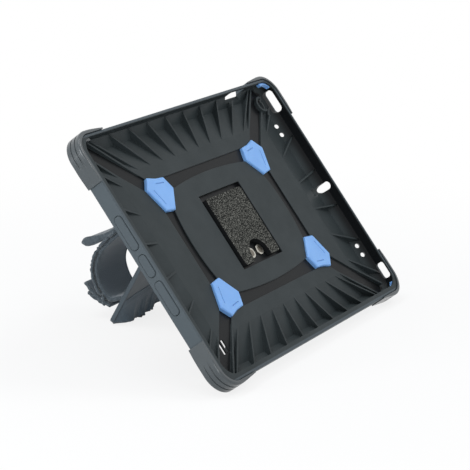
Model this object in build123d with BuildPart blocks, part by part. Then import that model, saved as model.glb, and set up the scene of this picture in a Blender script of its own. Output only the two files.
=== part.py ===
"""Rugged tablet case with a swivelling kickstand and hand strap, standing on its long edge.

Millimetres, +Z up.  The case leans back, so everything is drawn on three planes that lean
with it: "face" looks out of the front of the case (x to the right, y up the case, and its
offset runs from the back towards the front rim), "side" is a section across the case
(y up the case, then depth) and "edge" looks along the case from its top edge.
"""

import os
from math import atan2, cos, degrees, radians, sin

from build123d import *

os.makedirs("parts", exist_ok=True)

# ---- stance ---------------------------------------------------------------------------
lean = 37.3  # how far the case leans back from upright, degrees
stance_y = -23.2  # puts the middle of the footprint at the origin

# ---- tray -----------------------------------------------------------------------------
case_w = 257.0  # outside, along the long edge
case_h = 181.0  # outside, along the short edge
rim_z = 13.2  # front rim
edge_z = 2.6  # where the side walls end at the back
back_z = -1.0  # flat of the back
corner_r = 13.0
wall = 2.4
lip_reach = 4.6  # how far the front lip reaches in at the left and the bottom
rim_round = 1.0
lip_t = 1.1
back_inset = 9.0  # the back slopes up over this much at each side
floor_z = 4.0  # inner floor around the ring channel
gutter_z = 0.8  # lowest line of the ribbed gutter, near the foot of the wall
gutter_x = 98.0  # the gutter starts here, from the centre, level with the inner floor
gutter_y = 60.0
gutter_foot = 6.4  # from its lowest line to the wall, where it slopes back up
ridge_z = 6.0  # the tops of the ribs rise from the inner floor to this at the wall
rib_t = 1.3
channel_side = 1.5  # wall left at each side of a diagonal channel
rib_pitch_long = 15.7  # rib spacing along the gutter's inner line, long sides
rib_fan_long = 23.4  # and where they meet the wall
rib_count_long = 10
rib_pitch_short = 21.2
rib_fan_short = 30.0
rib_count_short = 6

# ---- centre of the floor ----------------------------------------------------------------
channel_z = 3.0  # floor of the ring channel and of the diagonal channels
channel_w = 10.8
ring_x = 71.6  # outer line of the ring channel
ring_y = 49.6
plateau_z = 4.2
plateau_x = 61.0  # inner line of the ring channel at the pads
plateau_y = 39.8
plateau_bulge = 3.4
pocket_w = 54.5
pocket_h = 57.0
pocket_z = 1.5
foam_w = 47.5
foam_h = 51.5
foam_t = 4.4  # level with the pads, so that the tablet's back rests on it too
foam_x = -0.5  # stuck in by hand, a little off the middle
foam_y = -1.0
notch_w = 23.0
notch_h = 14.4

# ---- small features -----------------------------------------------------------------------
pad_top_z = 6.0
pad_gap = 0.05
pad_chamfer = 0.7
groove_w = 0.6
groove_depth = 0.5
lanyard_x = -96.2
lanyard_y = -67.0
lanyard_slit_l = 9.0
lanyard_slit_w = 2.8
lanyard_bar_w = 1.6
lanyard_floor_t = 1.0  # floor left at the bar, above a relief in the back
port_upper = (17.0, 7.0, 17.4, 7.2, 2.8)  # from the corner, depth, length, height, radius
port_lower = (17.3, 8.8, 12.2, 6.4, 2.0)
port_grow = 0.3  # a port is this much longer where it runs through a bumper
camera_from_side = 16.9
camera_from_top = 15.9
slot_z = 5.0  # middle slot in the right wall
slot_w = 6.0
slot_tall = 10.0
hole_r = 1.75
hole_way = (0.75, 0.0, -0.66)  # the four small holes slant out through the foot of the wall
hole_places = ((120.5, 56.4, 1.5), (120.5, 49.2, 1.5), (122.9, -48.2, 3.4), (122.9, -55.7, 3.4))
top_open_x = 83.0
top_open_w = 23.0
top_open_h = 9.8
top_bar = 2.0  # rim left above it
camera_hole_r = 4.6
camera_collar_t = 1.7
camera_collar_z = 6.2

# ---- corners --------------------------------------------------------------------------------
bumper_t = 2.6  # how far a corner bumper stands out from the walls
bumper_leg = 32.0  # its length along each wall from the outside corner
bumper_taper = 17.0
bumper_round = 1.3
bumper_back_z = 1.6
bumper_front = 0.7  # how far it stands in front of the rim
insert_t = 2.0
insert_z0 = 9.2
insert_leg = 13.0
insert_short = 5.0  # along the right wall, where a port is close

# ---- buttons in the left wall ---------------------------------------------------------------
button_z = 8.2
button_h = 6.0
button_stand = 0.6
button_gap = 0.3
button_edge = 0.4
button_flange = 0.9
button_flange_t = 0.6
buttons = {"button_upper": (23.0, 24.0), "button_middle": (-1.0, 15.5), "button_lower": (-24.5, 24.0)}

# ---- hub, swivel base, kickstand -----------------------------------------------------------
run_gap = 0.4  # between faces that slide past each other
fit_gap = 0.08  # around the hub neck and the pins, on the radius
hub_r = 24.0
hub_flange_r = 31.0
hub_flange_t = 2.0
base_r = 44.0
base_t = 2.7
base_tongue_w = 74.0
base_tongue_y0 = 26.0
base_tongue_y1 = 54.0
rivet_r = 2.0
rivet_head_r = 3.8
rivet_head_t = 1.3
rivet_x = 5.6
rivet_y = 20.2

kick_angle = 23.0  # the open kickstand's lean from square to the case
kick_y = 36.0  # hinge axis, up the case
kick_z = -10.0  # and behind the back
kick_w = 58.0
kick_t = 3.0
kick_foot_r = 4.0
knuckle_r = 3.6
lug_t = 4.0
lug_gap = 0.4
pin_r = 1.6
slot_from_foot = 17.0
slot_h = 4.4

# ---- strap --------------------------------------------------------------------------------
strap_w = 40.0
strap_t = 2.5
tail_t = 2.0
bar_y = 47.5  # the bar that holds the strap's upper end
bar_z = -9.0
bar_r = 1.75
bar_lug_h = 8.0
strap_play = 0.3  # a soft piece's gap at a slot or at another body

half_w = case_w / 2
half_h = case_h / 2
camera_x = half_w - camera_from_side
camera_y = half_h - camera_from_top
ports = (
    (half_h - port_upper[0], *port_upper[1:]),
    (port_lower[0] - half_h, *port_lower[1:]),
)
base_top_z = back_z - run_gap
base_back_z = base_top_z - base_t
flange_top_z = base_back_z - run_gap
hub_back_z = flange_top_z - hub_flange_t

up = Vector(0, cos(radians(lean)), sin(radians(lean)))  # in (x, up the case, depth)
# the case stands on the rounded back edge of its two lower bumpers
ground = (
    -(half_h + bumper_t - bumper_round) * up.Y + (bumper_back_z + bumper_round) * up.Z - bumper_round
)

face = Plane(
    origin=(0, stance_y, -ground),
    x_dir=(1, 0, 0),
    z_dir=(0, -cos(radians(lean)), sin(radians(lean))),
)
side = Plane(origin=face.origin, x_dir=face.y_dir, z_dir=face.x_dir)
edge = Plane(origin=face.origin, x_dir=face.x_dir, z_dir=face.y_dir)
depth = Axis(face.origin, face.z_dir)


def in_case(x, y, z):
    """A point given along the case's own x, up the case and depth."""
    return face.from_local_coords(Vector(x, y, z))


def save(builder, name):
    builder.part.label = name
    export_step(builder.part, f"parts/{name}.step")


# ---- rear shell -----------------------------------------------------------------------------
def rib_lines():
    """Inner and outer end of each gutter rib, with the half turn that repeats it."""
    lines = []
    for i in range(rib_count_long):
        k = i - (rib_count_long - 1) / 2
        outer_x = max(-half_w + 22, min(half_w - 22, k * rib_fan_long))
        lines.append(((k * rib_pitch_long, gutter_y - 0.4), (outer_x, half_h - wall - 0.2)))
    for i in range(rib_count_short):
        k = i - (rib_count_short - 1) / 2
        outer_y = max(-half_h + 17, min(half_h - 17, k * rib_fan_short))
        lines.append(((gutter_x - 0.4, k * rib_pitch_short), (half_w - wall - 0.2, outer_y)))
    return lines


def bar_between(p, q, width):
    """A straight strip of the given width from p to q, in the current sketch."""
    length = ((q[0] - p[0]) ** 2 + (q[1] - p[1]) ** 2) ** 0.5
    turn = degrees(atan2(q[1] - p[1], q[0] - p[0]))
    with Locations(Location(((p[0] + q[0]) / 2, (p[1] + q[1]) / 2, 0), (0, 0, turn))):
        Rectangle(length, width)


def plateau_outline():
    """The centre plateau: its corners are cut off where the pads sit, its sides bulge."""
    cut_x = plateau_x - 11.0
    cut_y = plateau_y - 13.5
    with BuildSketch() as outline:
        with BuildLine():
            for sx, sy in ((1, 1), (-1, 1), (-1, -1), (1, -1)):
                Line((sx * plateau_x, sy * cut_y), (sx * cut_x, sy * plateau_y))
            for s in (1, -1):
                top = s * (plateau_y + plateau_bulge)
                right = s * (plateau_x + plateau_bulge)
                ThreePointArc((cut_x, s * plateau_y), (0, top), (-cut_x, s * plateau_y))
                ThreePointArc((s * plateau_x, cut_y), (right, 0), (s * plateau_x, -cut_y))
        make_face()
    return outline.sketch_local


channel_start = (66.0, 40.5)  # a diagonal channel runs from here
channel_end = (115.8, 85.3)


def pad_outline(sx, sy, grow=0.0):
    """A junction pad: two short arms close the ring channel, the third faces the corner."""
    points = [(71.4, 27.4), (61.3, 26.1), (50.0, 39.9), (54.0, 49.4)]
    points += [(62.6, 50.2), (71.2, 52.4), (78.4, 44.4)]
    with BuildSketch() as outline:
        with BuildLine():
            Polyline([(sx * x, sy * y) for x, y in points], close=True)
        make_face()
        if grow:
            offset(amount=grow, kind=Kind.INTERSECTION)
    return outline.sketch_local


def port_outlines(grow):
    """The two ports near the right corners: place up the wall, depth, length, height."""
    with BuildSketch() as outlines:
        for y, z, length, height, radius in ports:
            with Locations((y, z)):
                RectangleRounded(length + 2 * grow, height + 2 * grow, radius + grow)
    return outlines.sketch_local


cavity_x = half_w - wall
cavity_y = half_h - wall
foot_x = cavity_x - gutter_foot
foot_y = cavity_y - gutter_foot

# what is taken out between the ribs: down from the inner floor, then up to the wall
with BuildPart() as gutter_cut:
    with BuildSketch(face.offset(gutter_z)):
        RectangleRounded(2 * foot_x, 2 * foot_y, 5.0)
    with BuildSketch(face.offset(ridge_z)):
        RectangleRounded(2 * cavity_x, 2 * cavity_y, corner_r - wall)
    loft()
    with BuildSketch(face.offset(gutter_z)):
        RectangleRounded(2 * foot_x, 2 * foot_y, 5.0)
    with BuildSketch(face.offset(floor_z)):
        RectangleRounded(2 * gutter_x, 2 * gutter_y, 3.0)
    loft(mode=Mode.SUBTRACT)
    with BuildSketch(face.offset(floor_z)):
        RectangleRounded(2 * gutter_x, 2 * gutter_y, 3.0)
    extrude(amount=ridge_z - floor_z, mode=Mode.SUBTRACT)
    with BuildSketch(face.offset(gutter_z)):
        for inner, outer in rib_lines():
            bar_between(inner, outer, rib_t)
            bar_between((-inner[0], -inner[1]), (-outer[0], -outer[1]), rib_t)
        for sx in (-1, 1):
            for sy in (-1, 1):
                inner = (sx * channel_start[0], sy * channel_start[1])
                outer = (sx * channel_end[0], sy * channel_end[1])
                bar_between(inner, outer, channel_w + 2 * channel_side)
    extrude(amount=ridge_z - gutter_z, mode=Mode.SUBTRACT)

with BuildPart() as rear_shell:
    # outside: walls, then a slope to the flat of the back
    with BuildSketch(face.offset(edge_z)):
        RectangleRounded(case_w, case_h, corner_r)
    extrude(amount=rim_z - edge_z)
    fillet(rear_shell.edges().group_by(depth)[-1], rim_round)
    with BuildSketch(face.offset(edge_z)):
        RectangleRounded(case_w, case_h, corner_r)
    with BuildSketch(face.offset(back_z)):
        RectangleRounded(case_w - 2 * back_inset, case_h - 2 * back_inset, corner_r)
    loft()

    # inside: the floor, the slope that the ribs keep, the walls and the lip
    with BuildSketch(face.offset(floor_z)):
        RectangleRounded(2 * gutter_x, 2 * gutter_y, 3.0)
    with BuildSketch(face.offset(ridge_z)):
        RectangleRounded(2 * cavity_x, 2 * cavity_y, corner_r - wall)
    loft(mode=Mode.SUBTRACT)
    with BuildSketch(face.offset(ridge_z)):
        RectangleRounded(2 * cavity_x, 2 * cavity_y, corner_r - wall)
    extrude(amount=rim_z - lip_t - ridge_z, mode=Mode.SUBTRACT)
    with BuildSketch(face.offset(rim_z - lip_t)):
        with Locations(((lip_reach - wall) / 2, (lip_reach - wall) / 2)):
            RectangleRounded(
                case_w - lip_reach - wall, case_h - lip_reach - wall, corner_r - wall
            )
    extrude(amount=lip_t, mode=Mode.SUBTRACT)
    add(gutter_cut.part, mode=Mode.SUBTRACT)

    # ring channel between the inner floor and the plateau
    with BuildSketch(face.offset(channel_z)):
        Rectangle(2 * ring_x, 2 * ring_y)
        add(plateau_outline(), mode=Mode.SUBTRACT)
    extrude(amount=floor_z - channel_z, mode=Mode.SUBTRACT)
    with BuildSketch(face.offset(channel_z)):
        add(plateau_outline())
    extrude(amount=plateau_z - channel_z)

    # diagonal channels from the pads into the corners
    with BuildSketch(face.offset(channel_z)):
        for sx in (-1, 1):
            for sy in (-1, 1):
                inner = (sx * channel_start[0], sy * channel_start[1])
                outer = (sx * channel_end[0], sy * channel_end[1])
                bar_between(inner, outer, channel_w)
    extrude(amount=rim_z - lip_t - channel_z, mode=Mode.SUBTRACT)

    # seats for the four pads
    for sx in (-1, 1):
        for sy in (-1, 1):
            with BuildSketch(face.offset(channel_z)):
                add(pad_outline(sx, sy, grow=pad_gap))
            extrude(amount=pad_top_z - channel_z, mode=Mode.SUBTRACT)

    # pocket for the foam pad, and the rivet holes in it
    with BuildSketch(face.offset(pocket_z)):
        Rectangle(pocket_w, pocket_h)
    extrude(amount=plateau_z - pocket_z, mode=Mode.SUBTRACT)
    with BuildSketch(face.offset(back_z)):
        with GridLocations(2 * rivet_x, 2 * rivet_y, 2, 2):
            Circle(rivet_r + 0.05)
    extrude(amount=pocket_z - back_z, mode=Mode.SUBTRACT)

    # two slits through one diagonal channel leave a bar for a lanyard; the back is relieved
    slit_step = (lanyard_bar_w + lanyard_slit_w) / 2
    with BuildSketch(face.offset(back_z - 0.5)):
        bar_between((lanyard_x - 6.0, lanyard_y - 5.2), (lanyard_x + 11.0, lanyard_y + 10.2), channel_w)
    extrude(amount=channel_z - lanyard_floor_t - back_z + 0.5, mode=Mode.SUBTRACT)
    with BuildSketch(face.offset(back_z - 0.5)):
        with Locations((lanyard_x - slit_step, lanyard_y), (lanyard_x + slit_step, lanyard_y)):
            Rectangle(lanyard_slit_w, lanyard_slit_l)
    extrude(amount=ridge_z - back_z, mode=Mode.SUBTRACT)

    # camera collar and hole near the top right corner
    with BuildSketch(face.offset(gutter_z)):
        with Locations((camera_x, camera_y)):
            Circle(camera_hole_r + camera_collar_t)
    extrude(amount=camera_collar_z - gutter_z)
    with BuildSketch(face.offset(back_z - 0.5)):
        with Locations((camera_x, camera_y)):
            Circle(camera_hole_r)
    extrude(amount=camera_collar_z - back_z + 1.0, mode=Mode.SUBTRACT)

    # openings in the right wall: two ports, a slot, four slanted holes
    with BuildSketch(side.offset(foot_x - 6.0)):
        add(port_outlines(0.0))
    extrude(amount=30.0, mode=Mode.SUBTRACT)
    with BuildSketch(side.offset(foot_x - 8.5)):
        with Locations((0.5, slot_z)):
            RectangleRounded(slot_w, slot_tall, slot_w / 2 - 0.1)
    extrude(amount=30.0, mode=Mode.SUBTRACT)
    for x, y, z in hole_places:
        bore = Plane(origin=in_case(x, y, z), z_dir=in_case(*hole_way) - face.origin)
        with BuildSketch(bore.offset(-1.6)):
            Circle(hole_r)
        extrude(amount=9.0, mode=Mode.SUBTRACT)

    # opening in the top wall, under the rim
    with BuildSketch(edge.offset(foot_y + 2.6)):
        with Locations((top_open_x, -(rim_z - top_bar) + top_open_h / 2)):
            RectangleRounded(top_open_w, top_open_h, 1.6)
    extrude(amount=12.0, mode=Mode.SUBTRACT)

    # button holes in the left wall, relieved inside for their flanges
    for y, length in buttons.values():
        with BuildSketch(side.offset(-half_w - 1.0)):
            with Locations((y, button_z)):
                RectangleRounded(length + 2 * button_gap, button_h + 2 * button_gap, 2.9)
        extrude(amount=wall + 1.1, mode=Mode.SUBTRACT)
        with BuildSketch(side.offset(-cavity_x)):
            with Locations((y, button_z)):
                grow = 2 * (button_flange + button_gap)
                Rectangle(length + grow, button_h + grow)
        extrude(amount=gutter_foot, mode=Mode.SUBTRACT)
save(rear_shell, "rear_shell")


# ---- blue pads at the four junctions of the ring channel ----------------------------------
def save_pad(name, sx, sy):
    with BuildPart() as pad:
        with BuildSketch(face.offset(channel_z)):
            add(pad_outline(sx, sy))
        extrude(amount=pad_top_z - channel_z)
        chamfer(pad.edges().group_by(depth)[-1], pad_chamfer)
        with BuildSketch(face.offset(pad_top_z - groove_depth)):
            bar_between((sx * 72.4, sy * 43.0), (sx * 68.4, sy * 31.5), groove_w)
            bar_between((sx * 66.0, sy * 46.6), (sx * 57.0, sy * 45.6), groove_w)
        extrude(amount=groove_depth, mode=Mode.SUBTRACT)
    save(pad, name)


save_pad("pad_tl", -1, 1)
save_pad("pad_tr", 1, 1)
save_pad("pad_br", 1, -1)
save_pad("pad_bl", -1, -1)


# ---- foam pad, rivets and hub ---------------------------------------------------------------
with BuildPart() as foam_pad:
    with BuildSketch(face.offset(pocket_z)):
        with Locations((foam_x, foam_y)):
            RectangleRounded(foam_w, foam_h, 1.2)
        with Locations((foam_x, foam_y - foam_h / 2)):
            SlotCenterToCenter(
                2 * (notch_h - notch_w / 2) + 0.01, notch_w, rotation=90, mode=Mode.SUBTRACT
            )
    extrude(amount=foam_t)
    with BuildSketch(face.offset(pocket_z)):
        with Locations((-rivet_x, rivet_y), (rivet_x, rivet_y)):
            Circle(rivet_head_r + 0.1)
    extrude(amount=rivet_head_t + 0.05, mode=Mode.SUBTRACT)
save(foam_pad, "foam_pad")

with BuildPart() as rivets:
    for x in (-rivet_x, rivet_x):
        for y in (-rivet_y, rivet_y):
            with BuildSketch(face.offset(hub_back_z)):
                with Locations((x, y)):
                    Circle(rivet_r)
            extrude(amount=pocket_z - hub_back_z)
            with BuildSketch(face.offset(pocket_z)):
                with Locations((x, y)):
                    Circle(rivet_head_r)
            extrude(amount=rivet_head_t)
            with BuildSketch(face.offset(hub_back_z)):
                with Locations((x, y)):
                    Circle(rivet_head_r - 0.6)
            extrude(amount=-0.8)
save(rivets, "rivets")

with BuildPart() as swivel_hub:
    with BuildSketch(face.offset(flange_top_z)):
        Circle(hub_r)
    extrude(amount=back_z - flange_top_z)
    with BuildSketch(face.offset(hub_back_z)):
        Circle(hub_flange_r)
    extrude(amount=hub_flange_t)
    with BuildSketch(face.offset(hub_back_z)):
        with GridLocations(2 * rivet_x, 2 * rivet_y, 2, 2):
            Circle(rivet_r + 0.05)
    extrude(amount=back_z - hub_back_z, mode=Mode.SUBTRACT)
save(swivel_hub, "swivel_hub")


# ---- corner bumpers and the blue inserts inside the corners -----------------------------------
def corner_mask(sx, sy, x, y, leg, taper):
    """The corner at (x, y): tapering legs that run back along both walls."""
    reach = bumper_t
    points = [(x - leg, y + 0.8), (x - leg + taper, y + reach), (x + reach, y + reach)]
    points += [(x + reach, y - leg + taper), (x + 0.8, y - leg), (x - 2, y - leg), (x - leg, y - 2)]
    with BuildSketch() as mask:
        with BuildLine():
            Polyline([(sx * px, sy * py) for px, py in points], close=True)
        make_face()
        fillet(mask.vertices().sort_by_distance((0, 0))[-1], corner_r + reach)
    return mask.sketch_local


with BuildPart() as bumper_envelope:
    with BuildSketch(face.offset(bumper_back_z)):
        RectangleRounded(case_w + 2 * bumper_t, case_h + 2 * bumper_t, corner_r + bumper_t)
    extrude(amount=rim_z + bumper_front - bumper_back_z)
    fillet(bumper_envelope.edges().group_by(depth)[-1], bumper_round)
    fillet(bumper_envelope.edges().group_by(depth)[0], bumper_round)


def save_bumper(name, sx, sy):
    with BuildPart() as bumper:
        with BuildSketch(face.offset(bumper_back_z)):
            add(corner_mask(sx, sy, half_w, half_h, bumper_leg, bumper_taper))
            RectangleRounded(case_w, case_h, corner_r, mode=Mode.SUBTRACT)
        extrude(amount=rim_z + bumper_front - bumper_back_z)
        add(bumper_envelope.part, mode=Mode.INTERSECT)
        for z in (5.6, 9.4):
            with BuildSketch(face.offset(z)):
                RectangleRounded(case_w + 20, case_h + 20, corner_r)
                RectangleRounded(
                    case_w + 2 * bumper_t - 1.0,
                    case_h + 2 * bumper_t - 1.0,
                    corner_r + bumper_t - 0.5,
                    mode=Mode.SUBTRACT,
                )
            extrude(amount=1.0, mode=Mode.SUBTRACT)
        if sx > 0:
            y, z, length, height, radius = ports[0 if sy > 0 else 1]
            top = z + height / 2
            with BuildSketch(side.offset(half_w - 1.0)):
                with Locations((y, (top + bumper_back_z - 4.0) / 2)):
                    RectangleRounded(
                        length + 2 * port_grow, top - bumper_back_z + 4.0, radius
                    )
            extrude(amount=bumper_t + 2.0, mode=Mode.SUBTRACT)
    save(bumper, name)


def save_insert(name, sx, sy):
    with BuildPart() as insert:
        with BuildSketch(face.offset(insert_z0)):
            RectangleRounded(2 * cavity_x, 2 * cavity_y, corner_r - wall)
            RectangleRounded(
                2 * (cavity_x - insert_t), 2 * (cavity_y - insert_t), 6.5, mode=Mode.SUBTRACT
            )
            with Locations((sx * cavity_x, sy * cavity_y)):
                up_leg = insert_short if sx > 0 else insert_leg
                Rectangle(2 * insert_leg, 2 * up_leg, mode=Mode.INTERSECT)
        extrude(amount=rim_z - lip_t - insert_z0)
    save(insert, name)


for place, sx, sy in (("tl", -1, 1), ("tr", 1, 1), ("br", 1, -1), ("bl", -1, -1)):
    save_bumper(f"bumper_{place}", sx, sy)
    save_insert(f"corner_insert_{place}", sx, sy)


# ---- buttons ----------------------------------------------------------------------------------
def save_button(name, y, length):
    with BuildPart() as button:
        with BuildSketch(side.offset(-half_w - button_stand)):
            with Locations((y, button_z)):
                RectangleRounded(length, button_h, 2.6)
        extrude(amount=button_stand + wall + button_gap)
        chamfer(button.edges().group_by(Axis.X)[0], button_edge)
        with BuildSketch(side.offset(-cavity_x + button_gap)):
            with Locations((y, button_z)):
                grow = 2 * button_flange
                RectangleRounded(length + grow, button_h + grow, 2.6)
        extrude(amount=button_flange_t)
    save(button, name)


for name, (y, length) in buttons.items():
    save_button(name, y, length)


# ---- swivel base with its lugs ----------------------------------------------------------------
def lug_section(y, z, width, radius, hole):
    """A lug from the swivel base's back down to an axis, rounded about that axis."""
    with BuildSketch() as section:
        with Locations((y, (base_back_z + z) / 2)):
            Rectangle(width, base_back_z - z)
        with Locations((y, z)):
            Circle(radius)
            Circle(hole, mode=Mode.SUBTRACT)
    return section.sketch_local


kick_lug_x = kick_w / 2 + lug_gap
bar_lug_x = strap_w / 2 + strap_play + 0.3

with BuildPart() as swivel_base:
    with BuildSketch(face.offset(base_back_z)) as base_sketch:
        with Locations((0, (base_tongue_y0 + base_tongue_y1) / 2)):
            RectangleRounded(base_tongue_w, base_tongue_y1 - base_tongue_y0, 6.0)
        Circle(base_r)
        Circle(hub_r + fit_gap, mode=Mode.SUBTRACT)
    extrude(amount=base_t)
    for x in (-kick_lug_x - lug_t, kick_lug_x):
        with BuildSketch(side.offset(x)):
            add(lug_section(kick_y, kick_z, 2 * knuckle_r + 1.6, knuckle_r + 0.8, pin_r))
        extrude(amount=lug_t)
    for x in (-bar_lug_x - lug_t, bar_lug_x):
        with BuildSketch(side.offset(x)):
            add(lug_section(bar_y, bar_z, bar_lug_h, bar_lug_h / 2, bar_r))
        extrude(amount=lug_t)
save(swivel_base, "swivel_base")

with BuildPart() as kickstand_pin:
    with BuildSketch(side.offset(-kick_lug_x - lug_t)):
        with Locations((kick_y, kick_z)):
            Circle(pin_r)
    extrude(amount=2 * (kick_lug_x + lug_t))
save(kickstand_pin, "kickstand_pin")

with BuildPart() as strap_bar:
    with BuildSketch(side.offset(-bar_lug_x - lug_t)):
        with Locations((bar_y, bar_z)):
            Circle(bar_r)
    extrude(amount=2 * (bar_lug_x + lug_t))
save(strap_bar, "strap_bar")

# ---- kickstand: its foot reaches the ground that the case stands on ------------------------
hinge = Vector(0, kick_y, kick_z)
down = Vector(0, -sin(radians(kick_angle)), -cos(radians(kick_angle)))  # hinge to foot
front = Vector(0, -cos(radians(kick_angle)), sin(radians(kick_angle)))  # out of the plate
foot_drop = kick_t / 2 * abs(front.dot(up))
kick_l = (hinge.dot(up) - foot_drop - ground) / -down.dot(up)

plate = Plane(
    origin=in_case(0, kick_y, kick_z),
    x_dir=face.x_dir,
    z_dir=in_case(*front) - face.origin,
)

with BuildPart() as kickstand:
    with BuildSketch(plate.offset(-kick_t / 2)) as blade:
        with Locations((0, -kick_l / 2)):
            Rectangle(kick_w, kick_l)
        fillet(blade.vertices().group_by(Axis.Y)[0], kick_foot_r)
        with Locations((0, -kick_l + slot_from_foot)):
            RectangleRounded(strap_w + 1.2, slot_h, 1.2, mode=Mode.SUBTRACT)
    extrude(amount=kick_t)
    with BuildSketch(side.offset(-kick_w / 2)):
        with Locations((kick_y, kick_z)):
            Circle(knuckle_r)
    extrude(amount=kick_w)
    with BuildSketch(side.offset(-kick_w / 2)):
        with Locations((kick_y, kick_z)):
            Circle(pin_r + fit_gap)
    extrude(amount=kick_w, mode=Mode.SUBTRACT)
save(kickstand, "kickstand")


# ---- strap --------------------------------------------------------------------------------
def ribbon(points, thickness):
    """A band as wide as the strap along a smooth line drawn on the side plane."""
    with BuildPart() as band:
        with BuildLine(side) as run:
            Spline(*points)
        with BuildSketch(Plane(origin=run.line @ 0, x_dir=face.x_dir, z_dir=run.line % 0)):
            Rectangle(strap_w, thickness)
        sweep()
    return band.part


loop_r = bar_r + 0.1
turn_y = 20.0  # the strap's free end and the kickstand's end meet here
turn_z = -108.0
slot_at = hinge + down * (kick_l - slot_from_foot)
through = slot_at + front * (kick_t / 2 + 2.2) + down * 1.5
flap_end = slot_at + front * (kick_t / 2 + 4.6) + down * 11.0

band_line = [
    (bar_y - loop_r - strap_t / 2, bar_z),
    (43.6, -35.0),
    (42.5, -62.0),
    (41.2, -82.0),
    (38.6, -94.0),
    (31.5, -103.6),
    (turn_y + 0.2, turn_z),
]
with BuildPart() as strap_band:
    add(ribbon(band_line, strap_t))
    with BuildSketch(side.offset(-strap_w / 2)):
        with Locations((bar_y, bar_z)):
            Circle(loop_r + strap_t)
            Circle(loop_r, mode=Mode.SUBTRACT)
    extrude(amount=strap_w)
save(strap_band, "strap_band")

# the folded end lies just outside the band, then curls away
tab_t = strap_t - 0.1
tab_step = strap_t + 0.3
tab_start = loop_r + 1.5 * strap_t + 0.5
tab_line = [
    (bar_y + 0.473 * tab_start, bar_z - 0.881 * tab_start),
    (43.6 + tab_step, -35.0),
    (42.5 + tab_step, -62.0),
    (42.1 + tab_step, -78.0),
    (44.8 + tab_step, -90.0),
    (48.2 + tab_step, -100.0),
]
with BuildPart() as strap_tab:
    add(ribbon(tab_line, tab_t))
    with BuildSketch(side.offset(-strap_w / 2)):
        with Locations(tab_line[-1]):
            Circle(2.9)
    extrude(amount=strap_w)
save(strap_tab, "strap_tab")

return_line = [
    (turn_y - 0.7, turn_z),
    (9.0, -107.0),
    (slot_at.Y + 4.4, slot_at.Z - 3.6),
    (slot_at.Y, slot_at.Z),
    (through.Y, through.Z),
    (flap_end.Y, flap_end.Z),
]
with BuildPart() as strap_return:
    add(ribbon(return_line, strap_t))
save(strap_return, "strap_return")

tail_drop = strap_t / 2 + tail_t / 2 - 0.1
tail_path = ((4.6, -106.25), (11.0, -109.95), (19.0, -113.25), (28.5, -113.95))
tail_line = [(y, z - tail_drop) for y, z in tail_path]
with BuildPart() as strap_tail:
    add(ribbon(tail_line, tail_t))
save(strap_tail, "strap_tail")
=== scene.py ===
"""Looks for the tablet case: plastic shell, blue pads, foam, nickel rivets and the fabric strap."""

import math

import bmesh
import bpy
import numpy as np
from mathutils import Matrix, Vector


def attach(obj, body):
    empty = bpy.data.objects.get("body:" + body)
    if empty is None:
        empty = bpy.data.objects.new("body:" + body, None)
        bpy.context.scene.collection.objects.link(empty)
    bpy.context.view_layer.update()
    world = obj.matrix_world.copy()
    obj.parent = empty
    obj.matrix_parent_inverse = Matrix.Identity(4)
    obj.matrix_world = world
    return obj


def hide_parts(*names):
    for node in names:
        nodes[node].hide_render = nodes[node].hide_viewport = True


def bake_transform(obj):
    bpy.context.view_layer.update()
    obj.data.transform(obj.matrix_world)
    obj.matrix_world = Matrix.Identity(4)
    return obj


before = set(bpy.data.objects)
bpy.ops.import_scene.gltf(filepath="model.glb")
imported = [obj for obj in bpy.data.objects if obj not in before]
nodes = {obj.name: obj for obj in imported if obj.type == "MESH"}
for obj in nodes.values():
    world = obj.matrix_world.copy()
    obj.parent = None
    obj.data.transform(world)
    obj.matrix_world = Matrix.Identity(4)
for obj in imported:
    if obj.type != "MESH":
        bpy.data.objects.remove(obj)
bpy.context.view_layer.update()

# the case's own directions in the row frame, in metres
LEAN = math.radians(37.3)
RIGHT = Vector((1, 0, 0))
UP = Vector((0, math.sin(LEAN), math.cos(LEAN)))  # up the case
OUT = Vector((0, -math.cos(LEAN), math.sin(LEAN)))  # out of its front
HOME = Vector((0, -0.0232, 0.072567))  # middle of the case at the depth the sizes start from


def at(x, y, z):
    """A point given in millimetres along the case: right, up the case, depth."""
    return HOME + RIGHT * (x / 1000) + UP * (y / 1000) + OUT * (z / 1000)


# ---- material helpers -------------------------------------------------------------------
def material(name):
    m = bpy.data.materials.new(name)
    m.use_nodes = True
    tree = m.node_tree
    return m, tree, tree.nodes["Principled BSDF"]


def node(tree, kind, **values):
    """A new node; each value goes to the input of that name, or else to the property."""
    n = tree.nodes.new(kind)
    for key, value in values.items():
        if key in n.inputs:
            n.inputs[key].default_value = value
        else:
            setattr(n, key, value)
    return n


def set_inputs(n, **values):
    """Sets inputs by name, with _ for each space."""
    for key, value in values.items():
        n.inputs[key.replace("_", " ")].default_value = value


def object_texture(tree, kind, scale, **values):
    """A texture in object space, so that its grain is a real size."""
    coords = node(tree, "ShaderNodeTexCoord")
    texture = node(tree, kind, Scale=scale, **values)
    tree.links.new(coords.outputs["Object"], texture.inputs["Vector"])
    return texture


def noise(tree, scale, detail=2.0, rough=0.5):
    texture = object_texture(tree, "ShaderNodeTexNoise", scale, Detail=detail, Roughness=rough)
    return texture.outputs["Fac"]


def cells(tree, scale):
    return object_texture(tree, "ShaderNodeTexVoronoi", scale, feature="F1").outputs["Distance"]


def ramp(tree, source, stops):
    r = node(tree, "ShaderNodeValToRGB")
    while len(r.color_ramp.elements) < len(stops):
        r.color_ramp.elements.new(0.5)
    for element, (place, colour) in zip(r.color_ramp.elements, stops):
        element.position = place
        element.color = (*colour, 1)
    tree.links.new(source, r.inputs["Fac"])
    return r.outputs["Color"]


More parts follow.
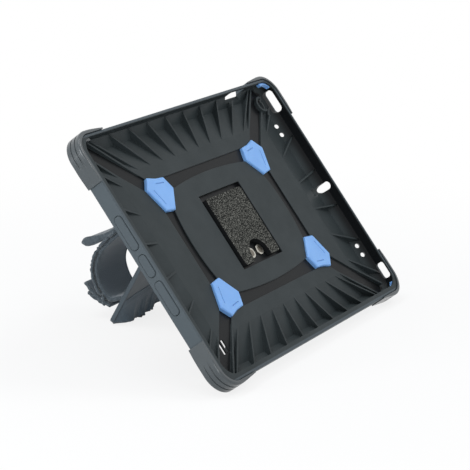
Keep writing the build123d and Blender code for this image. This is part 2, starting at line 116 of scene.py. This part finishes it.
def map_range(tree, source, ends, results=(0.0, 1.0), smooth=False):
    kind = "SMOOTHSTEP" if smooth else "LINEAR"
    n = node(tree, "ShaderNodeMapRange", interpolation_type=kind)
    set_inputs(n, From_Min=ends[0], From_Max=ends[1], To_Min=results[0], To_Max=results[1])
    tree.links.new(source, n.inputs["Value"])
    return n.outputs["Result"]


def rounded(tree, radius):
    """Normals that round the sharp edges by that radius in metres."""
    return node(tree, "ShaderNodeBevel", samples=6, Radius=radius).outputs["Normal"]


def bump(tree, height, distance, strength, under=None):
    b = node(tree, "ShaderNodeBump", Distance=distance, Strength=strength)
    tree.links.new(height, b.inputs["Height"])
    if under is not None:
        tree.links.new(under, b.inputs["Normal"])
    return b.outputs["Normal"]


def maths(tree, kind, a, b=None):
    """One maths node; a and b are sockets or numbers."""
    m = node(tree, "ShaderNodeMath", operation=kind)
    for socket, value in zip(m.inputs, (a, b)):
        if value is None:
            continue
        if isinstance(value, (int, float)):
            socket.default_value = value
        else:
            tree.links.new(value, socket)
    return m.outputs["Value"]


def along(tree, direction):
    """Distance along a direction from the middle of the case, in metres."""
    coords = node(tree, "ShaderNodeTexCoord")
    shift = node(tree, "ShaderNodeVectorMath", operation="SUBTRACT")
    tree.links.new(coords.outputs["Object"], shift.inputs[0])
    shift.inputs[1].default_value = HOME
    dot = node(tree, "ShaderNodeVectorMath", operation="DOT_PRODUCT")
    tree.links.new(shift.outputs["Vector"], dot.inputs[0])
    dot.inputs[1].default_value = direction
    return dot.outputs["Value"]


def from_middle(tree, direction):
    return maths(tree, "ABSOLUTE", along(tree, direction))


def tinted(tree, base, mask, colour):
    """The base colour with another one laid over it where the mask is 1."""
    mix = node(tree, "ShaderNodeMix", data_type="RGBA")
    fac, first, second, mixed = mix.inputs[0], mix.inputs[6], mix.inputs[7], mix.outputs[2]
    tree.links.new(mask, fac)
    tree.links.new(base, first)
    second.default_value = (*colour, 1)
    return mixed


# ---- plastic and rubber; bump depths and edge radii are in metres -------------------------
def moulded(name, dark, light, rough, grain_depth=0.00004, coat=0.0, specular=0.36):
    """Moulded plastic or rubber: fine spark-eroded grain, slight cloudy tint, rounded edges."""
    m, tree, shader = material(name)
    clouds = noise(tree, 38.0, detail=4.0, rough=0.6)
    tint = ramp(tree, clouds, [(0.3, dark), (0.75, light)])
    tree.links.new(tint, shader.inputs["Base Color"])
    patches = noise(tree, 120.0, detail=3.0, rough=0.55)
    spread = map_range(tree, patches, (0.0, 1.0), (rough - 0.06, rough + 0.08))
    tree.links.new(spread, shader.inputs["Roughness"])
    grain = noise(tree, 2600.0, detail=2.0, rough=0.6)
    relief = bump(tree, grain, grain_depth, 0.55, rounded(tree, 0.0005))
    tree.links.new(relief, shader.inputs["Normal"])
    set_inputs(shader, Specular_IOR_Level=specular)
    if coat:
        set_inputs(shader, Coat_Weight=coat, Coat_Roughness=0.14)
    return m


# places on the shell, in metres from the middle of the case: right, up the case, depth
CHANNEL_START = (0.066, 0.0405)  # on the middle line of a diagonal channel, at its pad
CHANNEL_ACROSS = (0.6688, -0.7434)  # unit direction across it
CHANNEL_HALF = 0.0053
RING = (0.078, 0.056)  # half sizes that take in the ring channel and the foam's pocket
IN_WALL = (0.1266, 0.0886)  # between the inner and the outer face of the walls
GUTTER, WALL_FACE = 0.1195, 0.1255  # the painted shade and the polish grow from the gutter to the side wall
POCKET_LOW = 0.0012  # just below the pocket's floor
PLATE_LOW = 0.0036  # between the channels' floor and the plate's
LIP_LOW = 0.0125  # just below the front of the lip


def shell():
    """Moulded shell: matt inside, a lighter grey outside that is partly painted light, and painted
    shade, near black, in the channels and on the inner side walls, which are also made smoother.
    """
    m = moulded("shell_plastic", (0.024, 0.031, 0.033), (0.034, 0.042, 0.045), 0.46, specular=0.12)
    tree = m.node_tree
    shader = tree.nodes["Principled BSDF"]
    x, y, z = from_middle(tree, RIGHT), from_middle(tree, UP), along(tree, OUT)

    def both(first, *others):
        """1 where all the masks are 1."""
        for other in others:
            first = maths(tree, "MULTIPLY", first, other)
        return first

    def under(value, limit):
        return maths(tree, "LESS_THAN", value, limit)

    def over(value, limit):
        return maths(tree, "GREATER_THAN", value, limit)

    def past(value, axis):
        start, share = CHANNEL_START[axis], CHANNEL_ACROSS[axis]
        return maths(tree, "MULTIPLY", maths(tree, "SUBTRACT", value, start), share)

    across = maths(tree, "ABSOLUTE", maths(tree, "ADD", past(x, 0), past(y, 1)))
    diagonal = both(under(across, CHANNEL_HALF), over(x, CHANNEL_START[0]))
    ring = both(under(x, RING[0]), under(y, RING[1]))
    place = maths(tree, "MAXIMUM", ring, diagonal)
    channel = both(place, under(z, PLATE_LOW), over(z, POCKET_LOW))
    inside = both(under(x, IN_WALL[0]), under(y, IN_WALL[1]))
    inside = both(inside, over(z, POCKET_LOW), under(z, LIP_LOW))
    wall = both(inside, map_range(tree, x, (GUTTER, WALL_FACE), smooth=True))
    shade_and_polish = maths(tree, "MAXIMUM", channel, wall)
    outside = maths(tree, "MAXIMUM", over(x, IN_WALL[0]), over(y, IN_WALL[1]))

    base = shader.inputs["Base Color"].links[0].from_socket
    # partly painted light: the outer walls are tinted lighter for the light they catch from the
    # side, and partly this is the outer moulding's greyer plastic
    base = tinted(tree, base, outside, (0.066, 0.081, 0.091))
    # painted shade: the channels and the inner side walls are tinted near black for the shade that
    # falls in these recesses; the same mask also lowers the roughness there
    base = tinted(tree, base, shade_and_polish, (0.007, 0.008, 0.009))
    tree.links.new(base, shader.inputs["Base Color"])
    rough = shader.inputs["Roughness"].links[0].from_socket
    smoother = maths(tree, "SUBTRACT", rough, maths(tree, "MULTIPLY", shade_and_polish, 0.14))
    tree.links.new(smoother, shader.inputs["Roughness"])
    return m


def silicone():
    """The soft blue of the pads, with a little light in it."""
    m, tree, shader = material("pad_silicone")
    stops = [(0.3, (0.165, 0.365, 0.74)), (0.75, (0.205, 0.42, 0.80))]
    clouds = noise(tree, 60.0, detail=3.0, rough=0.5)
    tree.links.new(ramp(tree, clouds, stops), shader.inputs["Base Color"])
    set_inputs(
        shader,
        Roughness=0.42,
        Subsurface_Weight=0.18,
        Subsurface_Scale=0.002,
        Subsurface_Radius=(0.4, 0.7, 1.0),
    )
    grain = noise(tree, 3000.0, detail=2.0, rough=0.6)
    relief = bump(tree, grain, 0.00003, 0.4, rounded(tree, 0.0006))
    tree.links.new(relief, shader.inputs["Normal"])
    return m


# ---- metal --------------------------------------------------------------------------------
RIVET_AT = (0.0056, 0.0202)  # each rivet's axis, in metres from the middle
DULL_FROM, DULL_TO = 0.0030, 0.0021  # the dull middle of the head fades in between these radii


def nickel():
    """Rivet heads, duller in the middle than at the rim."""
    m, tree, shader = material("rivet_nickel")
    stops = [(0.3, (0.40, 0.39, 0.35)), (0.7, (0.68, 0.665, 0.60))]
    tint = ramp(tree, noise(tree, 900.0, detail=3.0, rough=0.6), stops)
    x = maths(tree, "SUBTRACT", from_middle(tree, RIGHT), RIVET_AT[0])
    y = maths(tree, "SUBTRACT", from_middle(tree, UP), RIVET_AT[1])
    squared = maths(tree, "ADD", maths(tree, "MULTIPLY", x, x), maths(tree, "MULTIPLY", y, y))
    centre = map_range(tree, squared, (DULL_FROM**2, DULL_TO**2), smooth=True)
    # the middle of each head is tinted darker than its rim
    darker_middle = tinted(tree, tint, centre, (0.17, 0.155, 0.13))
    tree.links.new(darker_middle, shader.inputs["Base Color"])
    set_inputs(shader, Metallic=1.0, Roughness=0.3)
    scratches = noise(tree, 1800.0, detail=4.0, rough=0.7)
    relief = bump(tree, scratches, 0.00006, 0.6, rounded(tree, 0.0005))
    tree.links.new(relief, shader.inputs["Normal"])
    return m


def steel():
    """Ground steel, with fine lines round the pin."""
    m, tree, shader = material("pin_steel")
    coords = node(tree, "ShaderNodeTexCoord")
    stretch = node(tree, "ShaderNodeMapping", Scale=(1.0, 60.0, 60.0))
    tree.links.new(coords.outputs["Object"], stretch.inputs["Vector"])
    lines = node(tree, "ShaderNodeTexNoise", Scale=60.0)
    tree.links.new(stretch.outputs["Vector"], lines.inputs["Vector"])
    height = lines.outputs["Fac"]
    stops = [(0.3, (0.42, 0.42, 0.43)), (0.7, (0.58, 0.58, 0.59))]
    tree.links.new(ramp(tree, height, stops), shader.inputs["Base Color"])
    set_inputs(shader, Metallic=1.0, Roughness=0.32)
    relief = bump(tree, height, 0.00004, 0.3, rounded(tree, 0.0002))
    tree.links.new(relief, shader.inputs["Normal"])
    return m


# ---- foam and cloth -------------------------------------------------------------------------
def foam():
    """Cut open-cell foam: dark cells with pale grains between them."""
    m, tree, shader = material("foam_cells")
    stops = [
        (0.41, (0.004, 0.004, 0.004)),
        (0.5, (0.021, 0.023, 0.021)),
        (0.63, (0.185, 0.185, 0.165)),
    ]
    grains = noise(tree, 1250.0, detail=2.0, rough=0.7)
    tree.links.new(ramp(tree, grains, stops), shader.inputs["Base Color"])
    set_inputs(shader, Roughness=0.95, Specular_IOR_Level=0.15)
    tree.links.new(bump(tree, cells(tree, 950.0), 0.0005, 0.8), shader.inputs["Normal"])
    return m


def webbing(name, dark, light, pile):
    """Strap cloth: a woven or looped face with a fuzzy sheen; pile is the loops' scale."""
    m, tree, shader = material(name)
    loops = cells(tree, pile)
    grains = noise(tree, pile * 0.9, detail=3.0, rough=0.7)
    tint = ramp(tree, grains, [(0.35, dark), (0.66, light)])
    tree.links.new(tint, shader.inputs["Base Color"])
    set_inputs(
        shader, Roughness=0.92, Specular_IOR_Level=0.2, Sheen_Weight=0.35, Sheen_Roughness=0.5
    )
    height = maths(tree, "MULTIPLY", loops, grains)
    tree.links.new(bump(tree, height, 0.0006, 0.7), shader.inputs["Normal"])
    return m


# ---- which piece has which look -------------------------------------------------------------
shell_mat = shell()
bumper_mat = moulded(
    "bumper_rubber",
    (0.036, 0.045, 0.050),
    (0.050, 0.061, 0.067),
    0.34,
    grain_depth=0.00002,
    coat=0.45,
)
kick_mat = moulded("kickstand_plastic", (0.036, 0.050, 0.061), (0.047, 0.064, 0.077), 0.5)
pad_mat, rivet_mat, pin_mat, foam_mat = silicone(), nickel(), steel(), foam()
# painted shade: the foam's cut sides are near black for the shade in the pocket round the foam
foam_side_shade_mat = moulded(
    "foam_side_painted_shade", (0.006, 0.007, 0.008), (0.012, 0.013, 0.014), 0.8, specular=0.1
)
strap_mat = webbing("strap_cloth", (0.070, 0.095, 0.118), (0.102, 0.136, 0.165), 1500.0)
loop_mat = webbing("strap_loop_face", (0.026, 0.035, 0.043), (0.088, 0.108, 0.122), 1100.0)
binding_mat = webbing("strap_binding", (0.110, 0.145, 0.175), (0.170, 0.210, 0.245), 2600.0)

looks = {"kickstand": kick_mat, "rivets": rivet_mat, "kickstand_pin": pin_mat, "strap_bar": pin_mat}
for name in ("rear_shell", "swivel_hub", "swivel_base"):
    looks[name] = shell_mat
for place in ("tl", "tr", "br", "bl"):
    looks["pad_" + place] = looks["corner_insert_" + place] = pad_mat
    looks["bumper_" + place] = bumper_mat
looks["corner_insert_tl"] = bumper_mat
for name in ("button_upper", "button_middle", "button_lower"):
    looks[name] = shell_mat
for name, obj in nodes.items():
    obj.data.materials.clear()
    obj.data.materials.append(looks.get(name, strap_mat))


# ---- meshes ---------------------------------------------------------------------------------
def mesh_object(name, points, faces, mats, smooth=True):
    mesh = bpy.data.meshes.new(name)
    mesh.from_pydata([tuple(p) for p in points], [], faces)
    mesh.update()
    obj = bpy.data.objects.new(name, mesh)
    bpy.context.scene.collection.objects.link(obj)
    for mat in mats:
        mesh.materials.append(mat)
    if smooth:
        for polygon in mesh.polygons:
            polygon.use_smooth = True
    return obj


def face_outward(obj):
    bm = bmesh.new()
    bm.from_mesh(obj.data)
    bmesh.ops.recalc_face_normals(bm, faces=bm.faces)
    bm.to_mesh(obj.data)
    bm.free()


# ---- foam pad, in millimetres -----------------------------------------------------------------
FOAM_W, FOAM_H, FOAM_Z0, FOAM_T = 47.5, 51.5, 1.52, 4.4
FOAM_X, FOAM_Y = -0.5, -1.0
FOAM_ROUND = 2.0
NOTCH_W, NOTCH_H = 23.0, 14.4
FOAM_STEP = 0.5
FOAM_SUNK, FOAM_LUMP, FOAM_EDGE_DROP = 0.12, 0.06, 0.18


def foam_piece():
    """The foam rectangle with its notch, as a fine grid whose top is uneven like cut foam."""
    rng = np.random.default_rng(7)
    nx, ny = int(FOAM_W / FOAM_STEP), int(FOAM_H / FOAM_STEP)
    half_w, half_h = FOAM_W / 2, FOAM_H / 2
    r = NOTCH_W / 2
    straight = NOTCH_H - r  # the notch's straight sides, below its round end
    made = {}
    points, faces, sides = [], [], []

    def kept(i, j):
        if not (0 <= i < nx and 0 <= j < ny):
            return False
        x = -half_w + (i + 0.5) * FOAM_STEP
        above = (j + 0.5) * FOAM_STEP
        if above < straight:
            return abs(x) >= r
        return x * x + (above - straight) ** 2 >= r * r

    lumps = rng.normal(0, 1, (nx + 1, ny + 1))

    def on_notch(x, y):
        """The point, pulled on to the notch's outline if it is beside it."""
        if abs(x) >= r + FOAM_STEP or y >= -half_h + NOTCH_H + FOAM_STEP:
            return x, y
        near = 0.75 * FOAM_STEP
        above = y + half_h - straight
        if above <= 0:
            if abs(abs(x) - r) < near:
                x = math.copysign(r, x)
            return x, y
        d = math.hypot(x, above)
        if abs(d - r) < near:
            x, y = x * r / d, above * r / d - half_h + straight
        return x, y

    def on_corner(x, y):
        """The point, pulled in from the square corner to the round one."""
        u, v = abs(x) - (half_w - FOAM_ROUND), abs(y) - (half_h - FOAM_ROUND)
        if u > 0 and v > 0:
            pull = max(u, v) / math.hypot(u, v)
            x = math.copysign(half_w - FOAM_ROUND + u * pull, x)
            y = math.copysign(half_h - FOAM_ROUND + v * pull, y)
        return x, y

    def corner(i, j, high):
        key = (i, j, high)
        if key not in made:
            x, y = on_notch(-half_w + i * FOAM_STEP, -half_h + j * FOAM_STEP)
            x, y = on_corner(x, y)
            z = FOAM_Z0
            if high:
                z += FOAM_T - FOAM_SUNK + FOAM_LUMP * float(np.clip(lumps[i, j], -1.6, 1.6))
                z -= FOAM_EDGE_DROP if i in (0, nx) or j in (0, ny) else 0.0
            made[key] = len(points)
            points.append(at(x + FOAM_X, y + FOAM_Y, z))
        return made[key]

    for i in range(nx):
        for j in range(ny):
            if not kept(i, j):
                continue
            ring = [(i, j), (i + 1, j), (i + 1, j + 1), (i, j + 1)]
            faces.append([corner(a, b, True) for a, b in ring])
            faces.append([corner(a, b, False) for a, b in reversed(ring)])
            beside = [(i, j - 1), (i + 1, j), (i, j + 1), (i - 1, j)]
            for (a, b), (c, d), neighbour in zip(ring, ring[1:] + ring[:1], beside):
                if not kept(*neighbour):
                    sides.append(len(faces))
                    wall = [(a, b, False), (c, d, False), (c, d, True), (a, b, True)]
                    faces.append([corner(*place) for place in wall])
    obj = mesh_object("foam_block", points, faces, [foam_mat, foam_side_shade_mat], smooth=False)
    # the sides get the near-black painted shade
    for side in sides:
        obj.data.polygons[side].material_index = 1
    return obj


foam_obj = foam_piece()
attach(foam_obj, "case")
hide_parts("foam_pad")


# ---- strap, in millimetres --------------------------------------------------------------------
LINE_STEP = 1.2
BOUND_EDGE = 0.9  # how far the binding reaches in from the strap's edge
SIDE_EDGE = 0.3
FROM_EDGE = (0, 0.35, 0.8, 1.2, 2.0, 3.0, 4.6, 7.0, 10.0, 13.0, 16.5)  # a section's points
OUTER, BOUND, INNER, SIDE = range(4)  # order of a strip's four materials


def smooth_line(points):
    """A Catmull-Rom line through the points, sampled about every LINE_STEP."""
    p = [np.array(q, float) for q in points]
    p = [2 * p[0] - p[1], *p, 2 * p[-1] - p[-2]]
    line = []
    for a, b, c, d in zip(p, p[1:], p[2:], p[3:]):
        count = max(2, int(np.linalg.norm(c - b) / LINE_STEP))
        square, cube = 2 * a - 5 * b + 4 * c - d, 3 * b - a - 3 * c + d
        for k in range(count):
            t = k / count
            line.append(0.5 * (2 * b + (c - a) * t + square * t * t + cube * t**3))
    line.append(p[-2])
    return np.array(line)


def normals_of(line):
    tangent = np.gradient(line, axis=0)
    tangent /= np.linalg.norm(tangent, axis=1)[:, None]
    return np.stack([-tangent[:, 1], tangent[:, 0]], axis=1)


def welt(from_edge):
    """The band's thickness there as a share: more at the binding, less at the very edge."""
    if SIDE_EDGE < from_edge < BOUND_EDGE:
        return 1.25
    return 0.6 if from_edge < 0.1 else 1.0


def strip(name, line, thick, half_width, mats, ragged=0.0, seed=1, wave=0.0):
    """A band along a line in (up the case, depth), with four materials for its faces.

    thick is a number, or pairs of the share of the line and the thickness there; ragged makes
    the edges uneven, and wave is the height of the ripples in the cloth.
    """
    rng = np.random.default_rng(seed)
    n = len(line)
    if np.isscalar(thick):
        thick = np.full(n, thick)
    else:
        thick = np.interp(np.linspace(0, 1, n), *zip(*thick))
    normal = normals_of(line)
    half = np.unique(np.clip(FROM_EDGE, 0, half_width - 1.5)) / half_width
    across = np.concatenate([half - 1, [0], (1 - half)[::-1]])
    fuzz = rng.normal(0, 1, (n, 2))
    # one closed section per step: top from left to right, then bottom back again
    profile = [(s, 0.5) for s in across] + [(s, -0.5) for s in reversed(across)]
    m = len(profile)
    points, faces, slots = [], [], []
    for k in range(n):
        width = half_width + ragged * fuzz[k]
        for s, h in profile:
            x = s * min(width[0] if s < 0 else width[1], half_width)
            lift = wave * math.sin(k * 0.31 + s * 1.7)
            up_by = h * thick[k] * welt(half_width * (1 - abs(s))) + lift
            y, z = line[k] + normal[k] * up_by
            points.append(at(x, y, z))
    for k in range(n - 1):
        for q in range(m):
            a, b = k * m + q, k * m + (q + 1) % m
            faces.append([a, b, b + m, a + m])
            s = 0.5 * (abs(profile[q][0]) + abs(profile[(q + 1) % m][0]))
            from_side = half_width * (1 - s)
            if from_side < SIDE_EDGE:
                slots.append(SIDE)
            elif from_side < BOUND_EDGE:
                slots.append(BOUND)
            else:
                slots.append(OUTER if profile[q][1] > 0 else INNER)
    faces.append(list(range(m)))
    faces.append([(n - 1) * m + q for q in reversed(range(m))])
    slots += [OUTER, OUTER]
    obj = mesh_object(name, points, faces, mats)
    for polygon, slot_index in zip(obj.data.polygons, slots):
        polygon.material_index = slot_index
    face_outward(obj)
    return obj


STRAP_T = 2.5
TURN = (20.0, -108.0)  # where the strap turns back to the kickstand
BAR = (47.5, -9.0)
LOOP_R = 1.75 + 0.1  # bar and its clearance
HINGE = np.array([36.0, -10.0])
KICK_LEAN = math.radians(23)
DOWN_KICK = np.array([-math.sin(KICK_LEAN), -math.cos(KICK_LEAN)])
KICK_FRONT = np.array([-math.cos(KICK_LEAN), math.sin(KICK_LEAN)])
KICK_HALF_T = 1.5
SLOT_FROM_FOOT = 17.0


def climb(direction):
    """How far a direction in (up the case, depth) rises in the row frame."""
    return direction[0] * UP.z + direction[1] * OUT.z


# the kickstand reaches from its hinge to the ground
hinge_height = at(0, *HINGE).z
KICK_L = (hinge_height - KICK_HALF_T * 1e-3 * abs(climb(KICK_FRONT))) / -climb(DOWN_KICK) * 1000
slot_at = HINGE + DOWN_KICK * (KICK_L - SLOT_FROM_FOOT)

around_bar = [
    (BAR[0] + (LOOP_R + STRAP_T / 2) * math.cos(a), BAR[1] + (LOOP_R + STRAP_T / 2) * math.sin(a))
    for a in np.linspace(math.radians(-60), math.radians(180), 14)
]
back_run = [(42.5, -62.0), (41.2, -82.0), (38.6, -94.0), (31.5, -103.6), TURN]
band_line = [
    *around_bar,
    (43.6, -35.0),
    *back_run,
    (9.0, -107.0),
    (slot_at[0] + 4.4, slot_at[1] - 3.6),
    tuple(slot_at),
    tuple(slot_at + KICK_FRONT * 2.4 + DOWN_KICK * 0.4),
]
band = strip(
    "strap_band_cloth",
    smooth_line(band_line),
    STRAP_T,
    19.2,
    [strap_mat, binding_mat, strap_mat, loop_mat],
)
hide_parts("strap_band", "strap_return")
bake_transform(band)

tab_line = [
    (50.4, -14.4),
    (46.6, -35.0),
    (45.5, -62.0),
    (45.3, -78.0),
    (48.0, -90.0),
    (52.0, -101.0),
]
tab_thickness = [
    (0.0, 2.2),
    (0.55, 2.4),
    (0.8, 3.6),
    (0.9, 5.2),
    (0.95, 5.4),
    (0.975, 4.4),
    (0.99, 3.0),
    (1.0, 1.2),
]
tab = strip(
    "strap_tab_cloth",
    smooth_line(tab_line),
    tab_thickness,
    20.0,
    [loop_mat, loop_mat, strap_mat, loop_mat],
    ragged=0.35,
    seed=3,
)
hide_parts("strap_tab")
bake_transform(tab)

tail = strip(
    "strap_tail_cloth",
    smooth_line([(4.6, -108.9), (11.0, -112.6), (19.0, -115.8), (28.5, -116.4)]),
    2.0,
    20.0,
    [strap_mat, loop_mat, loop_mat, loop_mat],
    ragged=0.5,
    seed=5,
    wave=0.12,
)
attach(tail, "kickstand")
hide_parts("strap_tail")

# hook-and-loop ply on the outside of the band, a little wider than it and frayed
outer_line = smooth_line([(43.4, -42.0), *back_run, (10.5, -107.4)])
outer = strip(
    "strap_outer_cloth",
    outer_line + normals_of(outer_line) * 2.2,
    1.7,
    21.4,
    [loop_mat] * 4,
    ragged=1.8,
    seed=11,
)
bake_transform(outer)

under_ply = strip(
    "strap_under_cloth",
    smooth_line([(7.5, -112.2), (14.0, -116.0), (21.8, -119.2)]),
    1.6,
    20.3,
    [strap_mat, loop_mat, loop_mat, loop_mat],
    ragged=0.5,
    seed=17,
    wave=0.1,
)
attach(under_ply, "kickstand")

# the strap's end over the front of the kickstand's foot, in millimetres
FLAP_LEFT, FLAP_WIDTH = -27.7, 56.2
FLAP_THICK = 0.9
FLAP_BULGE = 7.6  # more than this cuts into the back when the kickstand is folded
FLAP_CLEAR = 1.56  # from the middle of the kickstand to the cloth
FLOOR_CLEAR = 0.0003  # in metres


def flap():
    """The strap's end, out through the slot and down over the front of the kickstand's foot."""
    rng = np.random.default_rng(23)
    nx, nv = 70, 22
    teeth = rng.normal(0, 1, nx + 1)
    points = []
    for lift in (FLAP_THICK, 0.0):
        for i in range(nx + 1):
            share = i / nx
            x = FLAP_LEFT + FLAP_WIDTH * share
            fade_in = min(1.0, share * 4)
            # the cloth's upper and lower line, by their distance from the kickstand's foot
            high = 21.0 + 15.0 * share + 0.8 * math.sin(share * 9)
            rise = min(1.0, share / 0.17)
            spread = FLAP_BULGE * rise * rise * (3 - 2 * rise) * math.sqrt(1 - share)
            torn = 1.3 + 0.7 * abs(teeth[i])
            torn += 1.0 * math.sin(share * 27 + 1.0) + 0.5 * math.sin(share * 61)
            low = 0.3 + 9.2 * share**2.2 + torn * fade_in
            frill = (1.1 * math.sin(share * 27 + 2.0) + 0.45 * teeth[i]) * fade_in
            for j in range(nv + 1):
                v = j / nv
                reach = KICK_L - high + (high - low) * v
                taper = min(1.0, 5 * v + 0.1) * min(1.0, i / 4 + 0.1)
                out_by = FLAP_CLEAR + lift * taper + max(0.0, spread * v**1.8 + frill * v**3)
                out_by += 0.10 * v * math.sin(i * 0.45 + j * 0.5)
                y, z = HINGE + DOWN_KICK * reach + KICK_FRONT * out_by
                p = at(x, y, z)
                p.z = max(p.z, FLOOR_CLEAR + lift * 0.0009)
                points.append(p)
    layer_size = (nx + 1) * (nv + 1)

    def index(layer, i, j):
        return layer * layer_size + i * (nv + 1) + j

    faces = []
    for i in range(nx):
        for j in range(nv):
            quad = [(i, j), (i + 1, j), (i + 1, j + 1), (i, j + 1)]
            faces.append([index(0, a, b) for a, b in quad])
            faces.append([index(1, a, b) for a, b in reversed(quad)])
    rim = [(i, 0) for i in range(nx)] + [(nx, j) for j in range(nv)]
    rim += [(i, nv) for i in range(nx, 0, -1)] + [(0, j) for j in range(nv, 0, -1)]
    for (a, b), (c, d) in zip(rim, rim[1:] + rim[:1]):
        faces.append([index(0, a, b), index(1, a, b), index(1, c, d), index(0, c, d)])
    obj = mesh_object("strap_flap_cloth", points, faces, [strap_mat])
    face_outward(obj)
    return obj


flap_obj = flap()
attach(flap_obj, "kickstand")


# ---- stage: floor, backdrop, light and camera -----------------------------------------------
FLOOR_SIZE = 14
FLOOR_DROP = -0.0002
SHADE_NEAR, SHADE_FAR = 0.15, 0.55  # the floor is a little grey within this far of the case
SHADE_WHITENESS = 0.82


def seen_directly(tree):
    """1 for camera, mirror and see-through rays, 0 for the rays that carry bounced light."""
    path = node(tree, "ShaderNodeLightPath")
    seen = path.outputs["Is Camera Ray"]
    for name in ("Is Glossy Ray", "Is Transmission Ray"):
        seen = maths(tree, "MAXIMUM", seen, path.outputs[name])
    return seen


def mixed_surface(tree, share, first, second, output):
    """Joins two shaders and sends them to the output."""
    mix = node(tree, "ShaderNodeMixShader")
    tree.links.new(share, mix.inputs["Fac"])
    tree.links.new(first, mix.inputs[1])
    tree.links.new(second, mix.inputs[2])
    tree.links.new(mix.outputs["Shader"], output.inputs["Surface"])


def backdrop():
    """A floor that is seen white, with a light shade near the case, and lights like a matt one."""
    bpy.ops.mesh.primitive_plane_add(size=FLOOR_SIZE, location=(0, 0, FLOOR_DROP))
    floor = bpy.context.object
    floor.name = "stage_floor"
    m = bpy.data.materials.new("stage_white")
    m.use_nodes = True
    tree = m.node_tree
    tree.nodes.clear()
    flat = node(tree, "ShaderNodeEmission", Color=(1, 1, 1, 1), Strength=1.0)
    matte = node(tree, "ShaderNodeBsdfDiffuse", Color=(0.8, 0.8, 0.8, 1))
    coords = node(tree, "ShaderNodeTexCoord")
    away = node(tree, "ShaderNodeVectorMath", operation="LENGTH")
    tree.links.new(coords.outputs["Object"], away.inputs[0])
    whiteness = map_range(
        tree, away.outputs["Value"], (SHADE_NEAR, SHADE_FAR), (SHADE_WHITENESS, 1.0), smooth=True
    )
    share = maths(tree, "MULTIPLY", seen_directly(tree), whiteness)
    output = node(tree, "ShaderNodeOutputMaterial")
    mixed_surface(tree, share, matte.outputs["BSDF"], flat.outputs["Emission"], output)
    floor.data.materials.append(m)


def world_light():
    """A white world to look at, and a dimmer, slightly cool one to be lit by."""
    world = bpy.data.worlds.new("studio")
    bpy.context.scene.world = world
    world.use_nodes = True
    tree = world.node_tree
    tree.nodes.clear()
    dim = node(tree, "ShaderNodeBackground", Color=(0.93, 0.96, 1.0, 1), Strength=0.6)
    white = node(tree, "ShaderNodeBackground", Color=(1, 1, 1, 1), Strength=1.0)
    output = node(tree, "ShaderNodeOutputWorld")
    shaders = dim.outputs["Background"], white.outputs["Background"]
    mixed_surface(tree, seen_directly(tree), *shaders, output)


def lamp(name, place, target, size, power, colour):
    data = bpy.data.lights.new(name, "AREA")
    data.shape = "RECTANGLE"
    data.size, data.size_y = size
    data.energy = power
    data.color = colour
    obj = bpy.data.objects.new(name, data)
    bpy.context.scene.collection.objects.link(obj)
    obj.location = place
    obj.rotation_euler = (Vector(target) - Vector(place)).to_track_quat("-Z", "Y").to_euler()


def camera():
    """The photograph's view."""
    data = bpy.data.cameras.new("camera")
    data.lens = 153.19
    data.sensor_width = 36.0
    data.clip_start = 0.05
    data.clip_end = 50.0
    obj = bpy.data.objects.new("camera", data)
    bpy.context.scene.collection.objects.link(obj)
    obj.location = (-1.14689, -0.65040, 0.39572)
    obj.rotation_mode = "QUATERNION"
    looks_along = Vector((0.850486, 0.466203, -0.243575))
    obj.rotation_quaternion = looks_along.to_track_quat("-Z", "Y")
    bpy.context.scene.camera = obj


backdrop()
world_light()
lamp("key", (0.55, -0.75, 1.35), (0, 0, 0.08), (0.7, 0.6), 7.5, (1.0, 1.0, 1.0))
lamp("top", (-0.35, 0.35, 1.4), (0, 0, 0.08), (0.6, 0.6), 5.0, (0.96, 0.98, 1.0))
lamp("left", (-1.15, 0.55, 0.38), (0, 0, 0.06), (0.6, 0.5), 8.0, (0.95, 0.98, 1.0))
lamp("fill", (-1.25, -0.6, 0.30), (0, 0, 0.06), (0.5, 0.5), 4.5, (0.97, 0.99, 1.0))
camera()
bpy.context.scene.view_settings.view_transform = "Standard"
